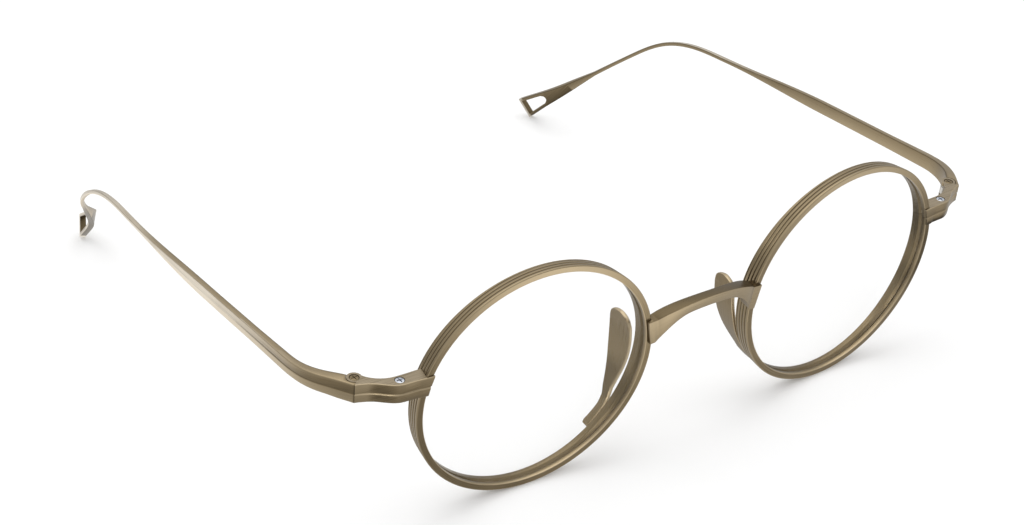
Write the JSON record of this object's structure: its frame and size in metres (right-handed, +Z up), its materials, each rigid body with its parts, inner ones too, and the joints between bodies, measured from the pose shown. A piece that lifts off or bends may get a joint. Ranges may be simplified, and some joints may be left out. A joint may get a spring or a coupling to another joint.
{
  "type": "round eyeglasses",
  "caption": "Round metal eyeglasses with grooved rims, an arched bridge, leaf nose pads and folding temples that end in open tips.",
  "frame": {"origin": "on the table, under the middle of the box round the open glasses", "axes": "+Z up, -Y the way the wearer looks, +X to the wearer's left"},
  "size_m": [0.1448, 0.138, 0.0441],
  "materials": {
    "antique_bronze": "brushed antique bronze plating, satin",
    "clear_lens": "clear, polished",
    "screw_silver": "polished",
    "screw_bronze": "dark bronze, polished",
    "washer_nylon": "off-white",
    "knuckle_metal": "bare machined metal"
  },
  "bodies": {
    "front": {"bridge": "antique_bronze", "rim_left": "antique_bronze", "rim_right": "antique_bronze", "lens_left": "clear_lens", "lens_right": "clear_lens", "nose_pad_left": "antique_bronze", "nose_pad_right": "antique_bronze", "closing_block_upper_left": "antique_bronze", "closing_block_upper_right": "antique_bronze", "closing_block_lower_left": "antique_bronze", "closing_block_lower_right": "antique_bronze", "lock_screw_left": "screw_silver", "lock_screw_right": "screw_silver", "hinge_screw_left": "screw_bronze", "hinge_screw_right": "screw_bronze", "hinge_washer_lower_left": "washer_nylon", "hinge_washer_lower_right": "washer_nylon", "hinge_washer_upper_left": "washer_nylon", "hinge_washer_upper_right": "washer_nylon"},
    "temple_arm_left": {"temple_left": "antique_bronze", "temple_knuckle_left": "knuckle_metal"},
    "temple_arm_right": {"temple_right": "antique_bronze", "temple_knuckle_right": "knuckle_metal"}
  },
  "joints": [
    {"name": "fold_left", "type": "hinge", "parent": "front", "child": "temple_arm_left", "pos_m": [0.0662, -0.05741, 0.02286], "axis": [0, -0.1228, 0.9924], "range_deg": [0, 88]},
    {"name": "fold_right", "type": "hinge", "parent": "front", "child": "temple_arm_right", "pos_m": [-0.0662, -0.05741, 0.02286], "axis": [0, 0.1228, -0.9924], "range_deg": [0, 85]}
  ]
}
